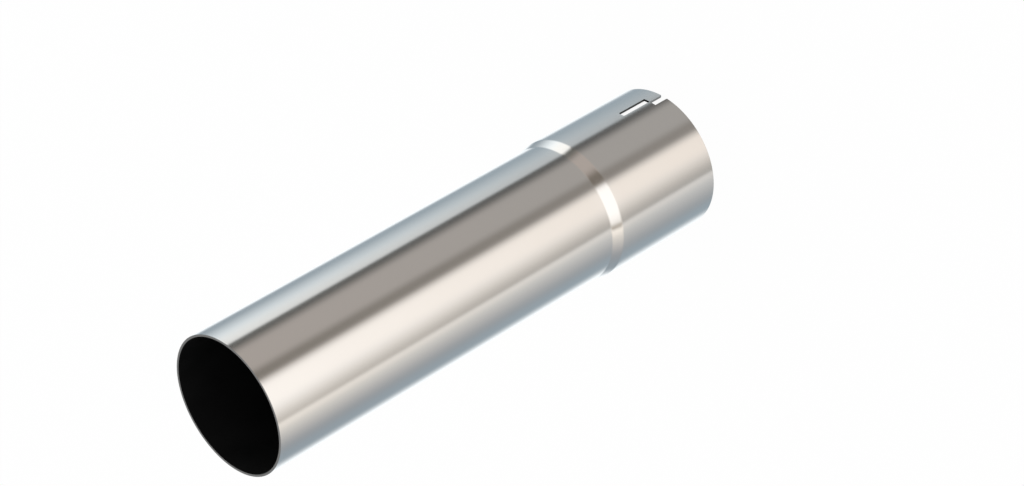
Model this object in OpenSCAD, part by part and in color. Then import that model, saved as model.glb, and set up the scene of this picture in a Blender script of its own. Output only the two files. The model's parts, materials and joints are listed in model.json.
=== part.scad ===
// Exhaust adapter pipe: one length of thin steel tube. Its plain end slides into the next
// pipe's socket, and its other end is expanded into a socket of its own, behind a short cone.
// Two staggered slots in the socket's wall let it close onto the pipe inside it.
//
// Millimetres. The pipe stands on its socket end: the origin is the centre of that end,
// +Z runs along the axis to the plain end, and +X points at the web between the two slots.

/* [Tube] */
// Outside diameter of the plain end
tube_od = 101.6; // [60:0.1:160]
// Thickness of the wall, the same all along
wall = 1.65; // [1:0.05:3]
// Length of the whole pipe, end to end
overall_length = 406.4; // [250:0.1:800]
// Chamfer that takes the burr off the edges of both ends
edge_break = 0.15; // [0.1:0.05:0.5]

/* [Socket] */
// Play across the diameter between the socket and a pipe of this pipe's own size
socket_clearance = 0.8; // [0.2:0.1:1.4]
// Length of the socket's straight wall, from its end to the cone
socket_length = 92; // [60:1:150]

/* [Cone] */
// Angle of the cone's wall to the axis
cone_angle = 13.5; // [6:0.5:40]
// Inside radius of the bend at each end of the cone
bend_r = 7; // [0.5:0.1:12]

/* [Slots] */
// Depth of the mouth slot, which is open at the socket's end
mouth_slot_depth = 12; // [5:0.1:20]
// Width of the mouth slot
mouth_slot_width = 5.2; // [2:0.1:10]
// Radius of the mouth slot's two lips, where it meets the socket's end
mouth_lip_r = 0.8; // [0.3:0.1:2]
// Length of the closed slot, which starts level with the bottom of the mouth slot
closed_slot_length = 26.3; // [10:0.1:35]
// Width of the closed slot
closed_slot_width = 5.2; // [3:0.1:12]
// Radius of the closed slot's two corners at its end away from the mouth
closed_corner_r = 1; // [0.3:0.1:1.4]
// Web of metal between the two slots' corners, measured round the bore
slot_web = 0.2; // [0.2:0.1:4]

/* [Hidden] */
$fn = 180;

tube_bore = tube_od - 2 * wall;
socket_bore = tube_od + socket_clearance;
socket_od = socket_bore + 2 * wall;

// Each bend's two walls share one centre, and the cone is tangent to both bends.
outer_bend_r = bend_r + wall;
socket_bend_x = socket_bore / 2 - bend_r;
tube_bend_x = tube_od / 2 + bend_r;
cone_rise = (outer_bend_r + bend_r - (tube_bend_x - socket_bend_x) * cos(cone_angle)) / sin(cone_angle);
cone_start = socket_length;
cone_end = cone_start + cone_rise;
bend_steps = 4;

// A cutter reaches this far past each face that it goes through.
overcut = 2;

// Angle from +X to the middle of a slot whose near corner keeps half the web at the bore.
function slot_angle(width) = asin(width / socket_bore) + slot_web / socket_bore * 180 / PI;

function arc_points(x, z, radius, from, to) = [
    for (i = [0:bend_steps])
        let (angle = from + (to - from) * i / bend_steps)
        [x + radius * cos(angle), z + radius * sin(angle)]
];

// One face of the wall from the socket's end up to the plain end. in_bend and out_bend are
// its radii at the socket's bend and at the tube's bend, and chamfer is positive inwards.
function wall_face(socket_r, tube_r, in_bend, out_bend, chamfer) = concat(
    [[socket_r - chamfer, 0], [socket_r, edge_break]],
    arc_points(socket_bend_x, cone_start, in_bend, 0, cone_angle),
    arc_points(tube_bend_x, cone_end, out_bend, 180 + cone_angle, 180),
    [[tube_r, overall_length - edge_break], [tube_r - chamfer, overall_length]]
);

function reversed(points) = [for (i = [len(points) - 1:-1:0]) points[i]];

module wall_section() {
    outside = wall_face(socket_od / 2, tube_od / 2, outer_bend_r, bend_r, edge_break);
    inside = wall_face(socket_bore / 2, tube_bore / 2, bend_r, outer_bend_r, -edge_break);
    polygon(concat(outside, reversed(inside)));
}

// A straight-sided cut through the socket's wall, centred at an angle round the axis.
module slot_cut(angle, width, low, high) {
    rotate([0, 0, angle])
        translate([socket_bore / 2 - overcut, -width / 2, low])
            cube([wall + 2 * overcut, width, high - low]);
}

// Two cylinders across the wall at one height, each the same distance from a slot's middle.
module wall_rounds(angle, offset, height, radius) {
    rotate([0, 0, angle])
        for (side = [-1, 1])
            translate([socket_bore / 2 - 2 * overcut, side * offset, height])
                rotate([0, 90, 0])
                    cylinder(h = wall + 4 * overcut, r = radius);
}

module mouth_slot() {
    angle = -slot_angle(mouth_slot_width);
    slot_cut(angle, mouth_slot_width, -overcut, mouth_slot_depth);
    difference() {
        slot_cut(angle, mouth_slot_width + 2 * mouth_lip_r, -overcut, mouth_lip_r);
        wall_rounds(angle, mouth_slot_width / 2 + mouth_lip_r, mouth_lip_r, mouth_lip_r);
    }
}

module closed_slot() {
    angle = slot_angle(closed_slot_width);
    top = mouth_slot_depth + closed_slot_length;
    inset = closed_slot_width / 2 - closed_corner_r;
    slot_cut(angle, closed_slot_width, mouth_slot_depth, top - closed_corner_r);
    slot_cut(angle, 2 * inset, mouth_slot_depth, top);
    wall_rounds(angle, inset, top - closed_corner_r, closed_corner_r);
}

module adapter_pipe() {
    color("#cbc6c1")
        difference() {
            rotate_extrude() wall_section();
            mouth_slot();
            closed_slot();
        }
}

adapter_pipe();
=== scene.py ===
"""Looks of the exhaust adapter pipe.

A flat strip with its two slots cut out is rolled into the pipe by Geometry Nodes, which also
draw the wall in along the cone and give it its thickness. The outside is smooth satin
stainless steel, the bore is painted near-black as painted shade, the cut faces carry painted
light and shade, and a ring of soft boxes and flags stands round the pipe.
"""

import json
import math

import bpy
from mathutils import Matrix, Quaternion, Vector


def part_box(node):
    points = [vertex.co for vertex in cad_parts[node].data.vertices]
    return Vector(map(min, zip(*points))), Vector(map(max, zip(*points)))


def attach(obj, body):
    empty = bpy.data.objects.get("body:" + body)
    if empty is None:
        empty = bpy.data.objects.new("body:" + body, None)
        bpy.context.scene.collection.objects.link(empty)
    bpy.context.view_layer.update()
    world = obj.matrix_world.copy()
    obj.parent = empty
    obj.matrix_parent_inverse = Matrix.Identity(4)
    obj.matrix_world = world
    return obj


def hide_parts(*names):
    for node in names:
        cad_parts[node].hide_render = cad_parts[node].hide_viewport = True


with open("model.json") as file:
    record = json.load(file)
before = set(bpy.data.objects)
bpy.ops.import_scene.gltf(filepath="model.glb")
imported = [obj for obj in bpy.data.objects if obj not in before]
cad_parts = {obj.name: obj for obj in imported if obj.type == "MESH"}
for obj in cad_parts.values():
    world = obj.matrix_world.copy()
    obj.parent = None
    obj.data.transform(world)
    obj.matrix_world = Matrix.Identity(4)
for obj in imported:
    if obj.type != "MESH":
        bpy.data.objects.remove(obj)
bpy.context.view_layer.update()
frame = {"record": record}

MM = 0.001

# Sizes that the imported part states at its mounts, in metres.
mount = {m["name"]: m["dims"] for m in frame["record"]["mounts"]}
plain_r = mount["spigot"]["r_mm"] * MM
plain_bore_r = mount["spigot_bore"]["r_mm"] * MM
socket_r = mount["socket_band"]["r_mm"] * MM
socket_bore_r = mount["socket"]["r_mm"] * MM
socket_length = mount["socket"]["length_mm"] * MM
pipe_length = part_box("adapter_pipe")[1].z
wall = plain_r - plain_bore_r

# The cone and its two bends, the edge chamfer and the slots, as the part's source has them.
cone_angle = math.radians(13.5)
bend_r = 7 * MM
edge_break = 0.15 * MM
mouth_depth = 12 * MM
mouth_width = 5.2 * MM
mouth_lip_r = 0.8 * MM
closed_length = 26.3 * MM
closed_width = 5.2 * MM
closed_corner_r = 1 * MM
slot_web = 0.2 * MM

outer_bend_r = bend_r + wall
bend_offset = (plain_r + bend_r) - (socket_r - outer_bend_r)
cone_rise = (outer_bend_r + bend_r - bend_offset * math.cos(cone_angle)) / math.sin(cone_angle)

# Size of the mesh's faces, along the pipe and round it, and how far it stays inside the part.
row_height = 8 * MM
column_width = 0.8 * MM
bend_rows = 8
corner_steps = 4
skin = 0.002 * MM
rolled_r = socket_r - skin

# Points closer together than this are merged.
touching = 0.01 * MM
# Places round the strip that agree to so many decimals of a metre are one place.
place_decimals = 8
# The strip's two ends are this close to half a turn, in radians.
seam_turn = 0.001
# An end's edge is chamfered where its faces turn by more than this.
chamfered_turn = math.radians(50)
# An edge looks sharp where its faces turn by more than this.
sharp_turn = math.radians(30)


class Graph:
    """Adds nodes to one node tree. Each input is a socket to link, or a plain value."""

    def __init__(self, tree):
        self.tree = tree

    def add(self, kind, inputs=None, **settings):
        node = self.tree.nodes.new(kind)
        for name, value in settings.items():
            setattr(node, name, value)
        for key, value in (inputs or {}).items():
            self.feed(node.inputs[key], value)
        return node

    def feed(self, socket, value):
        if isinstance(value, bpy.types.NodeSocket):
            self.tree.links.new(value, socket)
        else:
            socket.default_value = value

    def math(self, operation, *values):
        node = self.add("ShaderNodeMath", operation=operation)
        for socket, value in zip(node.inputs, values):
            self.feed(socket, value)
        return node.outputs[0]

    def ramp(self, value, start, end):
        """0 before start, 1 after end, and a smooth rise between them."""
        inputs = {"Value": value, "From Min": start, "From Max": end}
        return self.add("ShaderNodeMapRange", inputs, interpolation_type="SMOOTHSTEP").outputs[0]

    def between(self, value, low, high):
        """value held between low and high."""
        return self.math("MINIMUM", self.math("MAXIMUM", value, low), high)

    def varied(self, noise, least, change):
        """least where the noise is 0, and more by change where it is 1."""
        return self.math("ADD", self.math("MULTIPLY", noise, change), least)

    def mix(self, factor, first, second):
        """Colour that goes from first to second."""
        node = self.add("ShaderNodeMix", data_type="RGBA")
        self.feed(node.inputs["Factor"], factor)
        self.feed(node.inputs["A"], first)
        self.feed(node.inputs["B"], second)
        return node.outputs["Result"]


def empty_graph(owner):
    """The node tree of a new material or world, without the nodes that it comes with."""
    owner.use_nodes = True
    owner.node_tree.nodes.clear()
    return Graph(owner.node_tree)


def add_object(name, data):
    """A new object in the scene, at the origin."""
    made = bpy.data.objects.new(name, data)
    bpy.context.scene.collection.objects.link(made)
    return made


def slot_edges(width, side):
    """Both edges of a straight-sided slot, as lengths round the outside. side is 1 or -1, the
    side of +X that the slot is on, and its near corner keeps half the web at the bore."""
    middle = side * (math.asin(width / 2 / socket_bore_r) + slot_web / 2 / socket_bore_r)
    half = math.asin(width / 2 / rolled_r)
    return (middle - half) * rolled_r, (middle + half) * rolled_r


# Each slot's span round the pipe and along it, and where its lips or corners start to round off.
mouth_span = slot_edges(mouth_width, -1)
closed_span = slot_edges(closed_width, 1)
lip_span = (mouth_span[0] - mouth_lip_r, mouth_span[1] + mouth_lip_r)
corner_span = (closed_span[0] + closed_corner_r, closed_span[1] - closed_corner_r)
mouth_rows = (0, mouth_depth)
closed_rows = (mouth_depth, mouth_depth + closed_length)


def spaced(start, end, step):
    """Even steps from start up to, but without, end."""
    count = max(1, round((end - start) / step))
    return [start + (end - start) * i / count for i in range(count)]


def strip_columns():
    """Places round the pipe, as lengths on the socket's outside, with a line at each slot's edge
    and where the slots' lips and corners start to round off."""
    half_turn = math.pi * rolled_r
    places = (-half_turn, *lip_span, *mouth_span, *closed_span, *corner_span, half_turn)
    stops = sorted({round(x, place_decimals) for x in places})
    columns = [x for a, b in zip(stops, stops[1:]) for x in spaced(a, b, column_width)]
    return columns + [half_turn]


def strip_rows():
    """Heights along the pipe, with a line where a slot, a lip or a corner starts or ends, and
    close together where the wall bends."""
    cone_end = socket_length + cone_rise
    low_bend = (socket_length, socket_length + outer_bend_r * math.sin(cone_angle))
    high_bend = (cone_end - outer_bend_r * math.sin(cone_angle), cone_end)
    slot_stops = (0, mouth_lip_r, mouth_depth, closed_rows[1] - closed_corner_r, closed_rows[1])
    stops = (*slot_stops, *low_bend, *high_bend, pipe_length)
    bends = {low_bend[0], high_bend[0]}
    rows = []
    for a, b in zip(stops, stops[1:]):
        rows += spaced(a, b, (b - a) / bend_rows if a in bends else row_height)
    return rows + [pipe_length]


def inside(low, high, span):
    """Whether the middle of low and high is in the span."""
    middle = (low + high) / 2
    return span[0] < middle < span[1]


def nearest(values, target):
    """The index of the value that is nearest to the target."""
    return min(range(len(values)), key=lambda k: abs(values[k] - target))


def quarter_turns():
    """The angles between the two ends of a quarter circle."""
    return [math.pi / 2 * k / corner_steps for k in range(1, corner_steps)]


def lip_face(points, near, far, width, side):
    """The bottom face beside the mouth slot, with a quarter circle in place of its corner. near
    is its bottom point at the slot and far its other one. side is 1 where the slot is on the
    face's right and -1 where it is on the left."""
    centre = points[far][0]
    arc = []
    for turn in quarter_turns():
        arc.append(len(points))
        x = centre + side * mouth_lip_r * math.sin(turn)
        points.append((x, mouth_lip_r * (1 - math.cos(turn)), 0))
    top = range(near + width, far + width - side, -side)
    face = [far, *arc, *top]
    return face if side > 0 else face[::-1]


def filled_corner(points, foot, centre, width, side):
    """Faces that round off one far corner of the closed slot. foot and centre are the points
    below the corner and below the arc's top. side is 1 at the left corner, -1 at the right."""
    middle, low, _ = points[centre]
    arc = [foot]
    for turn in quarter_turns():
        arc.append(len(points))
        x = middle - side * closed_corner_r * math.cos(turn)
        points.append((x, low + closed_corner_r * math.sin(turn), 0))
    tip = foot + width
    fan = [[tip, a, b] for a, b in zip(arc, arc[1:])]
    fan.append([tip, arc[-1], *range(centre + width, tip, -side)])
    return fan if side > 0 else [face[::-1] for face in fan]


def flat_strip():
    """The steel strip before rolling: x runs round the pipe, y along it, and both slots are
    open."""
    columns = strip_columns()
    rows = strip_rows()
    width = len(columns)
    points = [(x, y, 0) for y in rows for x in columns]
    faces = []
    for j, (low, high) in enumerate(zip(rows, rows[1:])):
        for i, (left, right) in enumerate(zip(columns, columns[1:])):
            in_mouth = inside(left, right, mouth_span) and inside(low, high, mouth_rows)
            in_closed = inside(left, right, closed_span) and inside(low, high, closed_rows)
            in_lip = j == 0 and inside(left, right, lip_span)
            if not (in_mouth or in_closed or in_lip):
                corner = j * width + i
                faces.append((corner, corner + 1, corner + width + 1, corner + width))
    for edge, lip, side in zip(mouth_span, lip_span, (1, -1)):
        near = nearest(columns, edge)
        far = nearest(columns, lip)
        faces.append(lip_face(points, near, far, width, side))
    below_corners = nearest(rows, closed_rows[1] - closed_corner_r) * width
    for edge, inner, side in zip(closed_span, corner_span, (1, -1)):
        foot = below_corners + nearest(columns, edge)
        centre = below_corners + nearest(columns, inner)
        faces.extend(filled_corner(points, foot, centre, width, side))
    kept = sorted({corner for face in faces for corner in face})
    place = {corner: k for k, corner in enumerate(kept)}
    mesh = bpy.data.meshes.new("flat_strip")
    mesh.from_pydata([points[k] for k in kept], [], [[place[k] for k in face] for face in faces])
    mesh.validate()
    return add_object("satin_pipe", mesh)


def arc_height(g, radius, along):
    """How high a circle's arc stands above its centre, at a distance along from the centre."""
    radius_squared = g.math("MULTIPLY", radius, radius)
    along_squared = g.math("MULTIPLY", along, along)
    return g.math("SQRT", g.math("SUBTRACT", radius_squared, along_squared))


def wall_radius(g, height, sizes, plain, socket, low_bend, high_bend):
    """Radius of one face of the wall at a height: the straight socket, less what the lower
    bend, the cone and the upper bend take off it."""
    sine = g.math("SINE", sizes["Cone Angle"])
    cosine = g.math("COSINE", sizes["Cone Angle"])
    low_span = g.math("MULTIPLY", low_bend, sine)
    high_span = g.math("MULTIPLY", high_bend, sine)
    into_low = g.between(g.math("SUBTRACT", height, sizes["Cone Start"]), 0.0, low_span)
    short_of_end = g.between(g.math("SUBTRACT", sizes["Cone End"], height), 0.0, high_span)
    cone_foot = g.math("ADD", sizes["Cone Start"], low_span)
    cone_run = g.math("SUBTRACT", g.math("SUBTRACT", sizes["Cone End"], high_span), cone_foot)
    into_cone = g.between(g.math("SUBTRACT", height, cone_foot), 0.0, cone_run)
    low_drop = g.math("SUBTRACT", low_bend, arc_height(g, low_bend, into_low))
    high_left = g.math("SUBTRACT", high_bend, arc_height(g, high_bend, short_of_end))
    high_whole = g.math("SUBTRACT", high_bend, g.math("MULTIPLY", high_bend, cosine))
    high_drop = g.math("SUBTRACT", high_whole, high_left)
    cone_drop = g.math("MULTIPLY", into_cone, g.math("TANGENT", sizes["Cone Angle"]))
    drop = g.math("ADD", low_drop, g.math("ADD", cone_drop, high_drop))
    return g.math("MAXIMUM", plain, g.math("SUBTRACT", socket, drop))


def add_tree_sockets(tree, values):
    """The tree's geometry in and out, and a named number for each of the pipe's sizes."""
    tree.interface.new_socket("Geometry", in_out="INPUT", socket_type="NodeSocketGeometry")
    tree.interface.new_socket("Geometry", in_out="OUTPUT", socket_type="NodeSocketGeometry")
    for name, value in values.items():
        socket = tree.interface.new_socket(name, in_out="INPUT", socket_type="NodeSocketFloat")
        socket.default_value = value


# The edge attribute that tells the bevel which edges to break: those round both ends.
CHAMFERED = "bevel_weight_edge"


def rolling_tree(outside, bore, cut):
    """Geometry Nodes that roll the strip into a tube, thicken it inwards and finish its faces."""
    tree = bpy.data.node_groups.new("roll_pipe", "GeometryNodeTree")
    values = {
        "Plain Radius": plain_r - skin,
        "Socket Radius": rolled_r,
        "Wall": wall,
        "Cone Start": socket_length,
        "Cone End": socket_length + cone_rise,
        "Cone Angle": cone_angle,
        "Bend Radius": bend_r,
        "Length": pipe_length,
    }
    add_tree_sockets(tree, values)
    g = Graph(tree)
    sizes = g.add("NodeGroupInput").outputs

    # Each point keeps its turn round the pipe and its height, which its place on the strip gives.
    flat = g.add("ShaderNodeSeparateXYZ", {"Vector": g.add("GeometryNodeInputPosition").outputs[0]})
    strip_place = g.add("GeometryNodeCaptureAttribute", {"Geometry": sizes["Geometry"]}, domain="POINT")
    strip_place.capture_items.new("FLOAT", "Turn")
    strip_place.capture_items.new("FLOAT", "Height")
    g.feed(strip_place.inputs["Turn"], g.math("DIVIDE", flat.outputs["X"], sizes["Socket Radius"]))
    g.feed(strip_place.inputs["Height"], flat.outputs["Y"])
    turn = strip_place.outputs["Turn"]
    height = strip_place.outputs["Height"]

    def rolled(radius):
        x = g.math("MULTIPLY", radius, g.math("COSINE", turn))
        y = g.math("MULTIPLY", radius, g.math("SINE", turn))
        return g.add("ShaderNodeCombineXYZ", {"X": x, "Y": y, "Z": height}).outputs[0]

    # The strip is laid on the outside, and a copy grown from it is drawn in to the bore.
    bend = sizes["Bend Radius"]
    wide_bend = g.math("ADD", bend, sizes["Wall"])
    plain_bore = g.math("SUBTRACT", sizes["Plain Radius"], sizes["Wall"])
    socket_bore = g.math("SUBTRACT", sizes["Socket Radius"], sizes["Wall"])
    outer = wall_radius(g, height, sizes, sizes["Plain Radius"], sizes["Socket Radius"], wide_bend, bend)
    inner = wall_radius(g, height, sizes, plain_bore, socket_bore, bend, wide_bend)
    outer_face = g.add(
        "GeometryNodeSetPosition",
        {"Geometry": strip_place.outputs["Geometry"], "Position": rolled(outer)},
    )
    grown = g.add("GeometryNodeExtrudeMesh", {"Mesh": outer_face.outputs[0], "Individual": False})
    inner_face = g.add(
        "GeometryNodeSetPosition",
        {
            "Geometry": grown.outputs["Mesh"],
            "Selection": grown.outputs["Top"],
            "Position": rolled(inner),
        },
    )

    # The sides at the strip's two ends go, and the ends are joined into one closed wall.
    at_seam = g.math("GREATER_THAN", g.math("ABSOLUTE", turn), math.pi - seam_turn)
    seam_sides = g.math("MULTIPLY", grown.outputs["Side"], at_seam)
    open_seam = g.add(
        "GeometryNodeDeleteGeometry",
        {"Geometry": inner_face.outputs[0], "Selection": seam_sides},
        domain="FACE",
    )
    turned = g.add("GeometryNodeFlipFaces", {"Mesh": open_seam.outputs[0]})
    joined = g.add("GeometryNodeJoinGeometry")
    g.feed(joined.inputs[0], turned.outputs[0])
    g.feed(joined.inputs[0], outer_face.outputs[0])
    closed = g.add("GeometryNodeMergeByDistance", {"Geometry": joined.outputs[0], "Distance": touching})

    # The square edges round both ends are marked for the bevel.
    above_end = g.math("MINIMUM", height, g.math("SUBTRACT", sizes["Length"], height))
    at_end = g.math("LESS_THAN", above_end, touching)
    corner_turn = g.add("GeometryNodeInputMeshEdgeAngle").outputs["Unsigned Angle"]
    square = g.math("GREATER_THAN", corner_turn, chamfered_turn)
    marked = g.add(
        "GeometryNodeStoreNamedAttribute",
        {"Geometry": closed.outputs[0], "Name": CHAMFERED, "Value": g.math("MULTIPLY", at_end, square)},
        data_type="FLOAT",
        domain="EDGE",
    )

    finish = g.add("GeometryNodeRealizeInstances", {"Geometry": marked.outputs[0]})
    painted = ((outside, True), (bore, grown.outputs["Top"]), (cut, grown.outputs["Side"]))
    for material, where in painted:
        inputs = {"Geometry": finish.outputs[0], "Selection": where, "Material": material}
        finish = g.add("GeometryNodeSetMaterial", inputs)
    g.add("NodeGroupOutput", {"Geometry": finish.outputs[0]})
    return tree, values


def roll_pipe(outside, bore, cut):
    """The finished pipe, one plain mesh in the part's own place."""
    strip = flat_strip()
    for material in (outside, bore, cut):
        strip.data.materials.append(material)
    tree, values = rolling_tree(outside, bore, cut)
    roll = strip.modifiers.new("roll", "NODES")
    roll.node_group = tree
    for item in tree.interface.items_tree:
        if item.in_out == "INPUT" and item.name in values:
            roll[item.identifier] = values[item.name]
    edges = strip.modifiers.new("edge_break", "BEVEL")
    edges.limit_method = "WEIGHT"
    edges.edge_weight = CHAMFERED
    edges.width = edge_break
    edges.segments = 1
    edges.material = strip.data.materials.find(cut.name)
    evaluated = strip.evaluated_get(bpy.context.evaluated_depsgraph_get())
    mesh = bpy.data.meshes.new_from_object(evaluated)
    strip.modifiers.clear()
    strip.data = mesh
    mesh.shade_smooth()
    mesh.set_sharp_from_angle(angle=sharp_turn)
    return strip


# Scales of the finishes' patterns, in waves a metre before they are drawn out.
POLISHING_LINES = 2600
SHEEN_CLOUDS = 28
CUT_GRAIN = 1800
BORE_PATCHES = 60


def new_material(name):
    """A new material with one shader, to be filled in: the material, its graph, the shader."""
    material = bpy.data.materials.new(name)
    g = empty_graph(material)
    shader = g.add("ShaderNodeBsdfPrincipled")
    g.add("ShaderNodeOutputMaterial", {"Surface": shader.outputs[0]})
    return material, g, shader


def stretched_noise(g, place, stretch, scale, detail=3.0):
    """Noise between 0 and 1, drawn out along the axes where stretch is small."""
    vector = g.add("ShaderNodeMapping", {"Vector": place, "Scale": stretch}).outputs[0]
    return g.add("ShaderNodeTexNoise", {"Vector": vector, "Scale": scale, "Detail": detail}).outputs[0]


def satin_steel():
    """Smooth satin stainless: fine polishing lines round the pipe and a faint change of sheen."""
    darker = (0.68, 0.665, 0.645, 1)
    lighter = (0.72, 0.705, 0.685, 1)
    lines_share = 0.4
    least_roughness = 0.135
    roughness_change = 0.02
    polish_depth = 0.002 * MM
    material, g, shader = new_material("satin_outside")
    place = g.add("ShaderNodeTexCoord").outputs["Object"]
    lines = stretched_noise(g, place, (0.02, 0.02, 1.0), POLISHING_LINES)
    clouds = stretched_noise(g, place, (1.0, 1.0, 0.4), SHEEN_CLOUDS, detail=2.0)
    clouds_part = g.math("MULTIPLY", clouds, 1 - lines_share)
    tone = g.math("ADD", g.math("MULTIPLY", lines, lines_share), clouds_part)
    g.feed(shader.inputs["Base Color"], g.mix(tone, darker, lighter))
    clouds_sheen = g.math("MULTIPLY", clouds, roughness_change)
    sheen = g.math("ADD", g.math("MULTIPLY", lines, roughness_change), clouds_sheen)
    g.feed(shader.inputs["Roughness"], g.math("ADD", sheen, least_roughness))
    shader.inputs["Metallic"].default_value = 1.0
    bump = g.add("ShaderNodeBump", {"Height": lines, "Strength": 0.15, "Distance": polish_depth})
    g.feed(shader.inputs["Normal"], bump.outputs[0])
    return material


def cut_steel():
    """The cut faces, duller than the outside and painted far darker than bare steel as painted
    shade: the deburred ends, the walls of the mouth slot painted lighter as painted light falling
    into the open slot, those of the closed slot painted darker as painted shade, and near-black
    painted shade where the two slots nearly meet."""
    chamfer_reach = 2 * edge_break
    slots_from = 4 * edge_break
    mouth_fade = 1 * MM
    # Painted shade where the two slots nearly meet: darkest this close to the web, gone by the next
    # distance.
    painted_shade_width = 0.4 * MM
    painted_shade_fade = 1.2 * MM
    material, g, shader = new_material("cut_edge")
    place = g.add("ShaderNodeTexCoord").outputs["Object"]
    grain = stretched_noise(g, place, (1.0, 1.0, 1.0), CUT_GRAIN)
    height = g.add("ShaderNodeSeparateXYZ", {"Vector": place}).outputs["Z"]
    # Painted shade: the ends are far darker than bare steel.
    ends = g.mix(grain, (0.15, 0.15, 0.15, 1), (0.23, 0.23, 0.225, 1))
    # Painted light on the walls of the open mouth slot, painted shade on those of the closed slot.
    mouth_wall_painted_light = g.mix(grain, (0.3, 0.3, 0.3, 1), (0.4, 0.4, 0.395, 1))
    closed_wall_painted_shade = g.mix(grain, (0.06, 0.06, 0.06, 1), (0.12, 0.12, 0.118, 1))
    into_closed = g.ramp(height, mouth_depth - mouth_fade, mouth_depth)
    off_web = g.math("ABSOLUTE", g.math("SUBTRACT", height, mouth_depth))
    out_of_painted_shade = g.ramp(off_web, painted_shade_width, painted_shade_fade)
    # Near-black painted shade where the two slots nearly meet.
    slots = g.mix(out_of_painted_shade, (0.006, 0.006, 0.006, 1), g.mix(into_closed, mouth_wall_painted_light, closed_wall_painted_shade))
    past_start = g.ramp(height, chamfer_reach, slots_from)
    short_of_end = g.ramp(height, pipe_length - chamfer_reach, pipe_length - slots_from)
    in_slot = g.math("MULTIPLY", past_start, short_of_end)
    g.feed(shader.inputs["Base Color"], g.mix(in_slot, ends, slots))
    shader.inputs["Specular Tint"].default_value = (0.5, 0.5, 0.5, 1)
    g.feed(shader.inputs["Roughness"], g.varied(grain, 0.26, 0.12))
    shader.inputs["Metallic"].default_value = 1.0
    return material


def bore_painted_shade():
    """The inside of the pipe, painted near-black as painted shade where bare steel lies in shade."""
    material, g, shader = new_material("bore_painted_shade")
    place = g.add("ShaderNodeTexCoord").outputs["Object"]
    patches = stretched_noise(g, place, (1.0, 1.0, 0.5), BORE_PATCHES)
    # Painted shade: the bore's colour is near-black in place of the shade inside the tube.
    black = g.mix(patches, (0.002, 0.002, 0.002, 1), (0.006, 0.006, 0.006, 1))
    g.feed(shader.inputs["Base Color"], black)
    g.feed(shader.inputs["Roughness"], g.varied(patches, 0.5, 0.2))
    shader.inputs["Specular IOR Level"].default_value = 0.1
    return material


# The camera looks at a point near the pipe's axis, above its cone. Its azimuth is 0 when it
# looks along +Y and grows as it moves towards +X, and its roll turns the pipe's plain end to
# the lower left.
camera_target = Vector((-0.0004, -0.0004, 0.1492))
camera_azimuth = math.radians(45.53)
camera_elevation = math.radians(35.26)
camera_distance = 2.151
camera_roll = math.radians(120.03)
camera_lens = 109.81


def add_camera():
    camera = bpy.data.cameras.new("camera")
    camera.lens = camera_lens
    camera.clip_start = 0.05
    camera.clip_end = 100
    back = Vector((
        math.sin(camera_azimuth) * math.cos(camera_elevation),
        -math.cos(camera_azimuth) * math.cos(camera_elevation),
        math.sin(camera_elevation),
    ))
    place = camera_target + back * camera_distance
    level = (-back).to_track_quat("-Z", "Y")
    rolled = level @ Quaternion((0, 0, 1), -camera_roll)
    holder = add_object("camera", camera)
    holder.matrix_world = Matrix.LocRotScale(place, rolled, None)
    bpy.context.scene.camera = holder


# The ring of soft boxes and flags round the pipe, painted one over another. Bearings are in
# degrees clockwise from the camera, seen from above. Each panel has two edges, from left to
# right: the bearing, half the width of its soft border, and how far it leans clockwise for each
# degree upwards. Then come the elevation of the panel's foot, its colour low down near the
# floor and its colour higher up. An edge that panels share has a name of its own.
STRIP_TO_FLAG = (-83.8, 1.5, 0.42)
GAP_TO_KEY = (-8, 4, 0)
RIM_TO_FILL = (61, 1.2, -0.08)
NO_FOOT = -95
HIGH_FOOT = -22
STUDIO = {
    "room": ((-157, 8, -0.45), (148.5, 16, 0.2), NO_FOOT, (0.4, 0.485, 0.55), (0.38, 0.445, 0.5)),
    "side_wash": ((80, 10, 0), (114, 12, 0), NO_FOOT, (0.43, 0.47, 0.505), (0.41, 0.44, 0.475)),
    "side_fill": (RIM_TO_FILL, (78, 35, -0.15), NO_FOOT, (0.93, 0.9, 0.87), (1.46, 1.33, 1.18)),
    "fill_edge": (RIM_TO_FILL, (69, 6, -0.15), NO_FOOT, (0.88, 0.87, 0.86), (1.3, 1.22, 1.12)),
    "key_rim": ((35, 10, 0), RIM_TO_FILL, NO_FOOT, (0.46, 0.455, 0.44), (0.7, 0.64, 0.57)),
    "cool_strip": ((-121, 24, 0), STRIP_TO_FLAG, NO_FOOT, (0.46, 0.53, 0.58), (1.32, 1.43, 1.5)),
    "upper_strip": ((-101, 14, 0), STRIP_TO_FLAG, NO_FOOT, (0.475, 0.53, 0.57), (1.42, 1.42, 1.39)),
    "flag": (STRIP_TO_FLAG, (-61, 5, 0.08), NO_FOOT, (0.13, 0.13, 0.13), (0.12, 0.12, 0.11)),
    "card": ((-69.5, 10, 0.3), (2, 6, 0), NO_FOOT, (0.47, 0.46, 0.445), (0.57, 0.51, 0.47)),
    "card_gap": ((-25, 7, 0), GAP_TO_KEY, NO_FOOT, (0.34, 0.32, 0.3), (0.25, 0.222, 0.19)),
    "key": ((-5, 8, -0.1), (46.5, 22, 0.5), NO_FOOT, (1.16, 1.065, 0.98), (1.52, 1.49, 1.46)),
    "upper_gap": ((-26, 12, 0), GAP_TO_KEY, HIGH_FOOT, (0.23, 0.2, 0.17), (0.23, 0.2, 0.17)),
    "gap_post": ((53.5, 2, 0), (60, 1.2, 0), HIGH_FOOT, (0.52, 0.47, 0.4), (0.52, 0.47, 0.4)),
}
# Half the height of the soft border at a panel's foot, and the elevation at which an edge that
# leans stands at its own bearing.
FOOT_SOFT = 2.5
LEAN_FROM = -30
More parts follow.
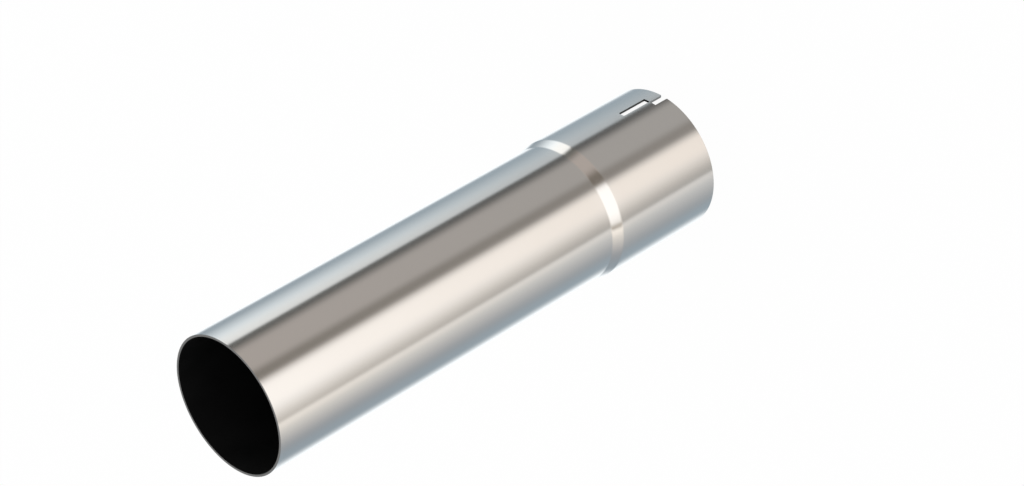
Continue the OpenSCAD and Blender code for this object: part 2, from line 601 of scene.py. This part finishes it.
# The elevations between which a panel's low colour gives way to its high one, and between which
# the panels give way to the white above them.
LOW_TO_HIGH = (-42, -22)
HIGH_TO_WHITE = (2, 16)
WHITE = (1, 1, 1, 1)
BACKDROP = (1.13, 1.19, 1.23, 1)


def light_studio():
    """A white background for the camera, and for rays that pass through. The steel mirrors
    white above the panels, and a slightly cooler and brighter backdrop between them."""
    world = bpy.data.worlds.new("studio")
    bpy.context.scene.world = world
    g = empty_graph(world)
    outwards = g.add("ShaderNodeTexCoord").outputs["Generated"]
    heading = g.add("ShaderNodeSeparateXYZ", {"Vector": outwards}).outputs
    compass = g.math("ARCTAN2", heading["Y"], heading["X"])
    to_camera = camera_azimuth - math.pi / 2
    bearing = g.math("WRAP", g.math("SUBTRACT", to_camera, compass), math.pi, -math.pi)
    bearing = g.math("DEGREES", bearing)
    elevation = g.math("DEGREES", g.math("ARCSINE", heading["Z"]))
    rise = g.math("SUBTRACT", elevation, LEAN_FROM)
    upness = g.ramp(elevation, *LOW_TO_HIGH)

    def past(edge):
        place, soft, lean = edge
        upright = g.math("SUBTRACT", bearing, g.math("MULTIPLY", rise, lean))
        return g.ramp(upright, place - soft, place + soft)

    light = BACKDROP
    for left, right, foot, low, high in STUDIO.values():
        cover = g.math("MULTIPLY", past(left), g.math("SUBTRACT", 1.0, past(right)))
        cover = g.math("MULTIPLY", cover, g.ramp(elevation, foot - FOOT_SOFT, foot + FOOT_SOFT))
        light = g.mix(cover, light, g.mix(upness, (*low, 1), (*high, 1)))
    light = g.mix(g.ramp(elevation, *HIGH_TO_WHITE), light, WHITE)
    ray = g.add("ShaderNodeLightPath").outputs
    straight = g.math("MAXIMUM", ray["Is Camera Ray"], ray["Is Transmission Ray"])
    background = g.add("ShaderNodeBackground", {"Color": g.mix(straight, light, WHITE)})
    g.add("ShaderNodeOutputWorld", {"Surface": background.outputs[0]})


# The floor's side in metres, its own paint, and how much of plain white the camera sees in it,
# which leaves the rest for the pipe's shadow.
floor_size = 30
floor_paint = (0.9, 0.9, 0.9, 1)
floor_glow = 0.96


def add_floor():
    """A plain white floor that keeps a faint shadow, and that the steel doesn't mirror."""
    half = floor_size / 2
    corners = [(-half, -half, 0), (half, -half, 0), (half, half, 0), (-half, half, 0)]
    mesh = bpy.data.meshes.new("floor")
    mesh.from_pydata(corners, [], [(0, 1, 2, 3)])
    floor = add_object("floor", mesh)
    floor.visible_glossy = False
    floor.visible_shadow = False
    material = bpy.data.materials.new("white_floor")
    g = empty_graph(material)
    matt = g.add("ShaderNodeBsdfDiffuse", {"Color": floor_paint})
    glow = g.add("ShaderNodeEmission", {"Color": WHITE, "Strength": 1.0})
    seen = g.add("ShaderNodeLightPath").outputs["Is Camera Ray"]
    both = g.add("ShaderNodeMixShader", {0: g.math("MULTIPLY", seen, floor_glow)})
    g.feed(both.inputs[1], matt.outputs[0])
    g.feed(both.inputs[2], glow.outputs[0])
    g.add("ShaderNodeOutputMaterial", {"Surface": both.outputs[0]})
    mesh.materials.append(material)


bpy.context.scene.view_settings.view_transform = "Standard"
add_camera()
light_studio()
add_floor()

# The bore's material is painted shade, and the cut faces carry painted light and shade.
pipe = roll_pipe(satin_steel(), bore_painted_shade(), cut_steel())
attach(pipe, "root")
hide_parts("adapter_pipe")
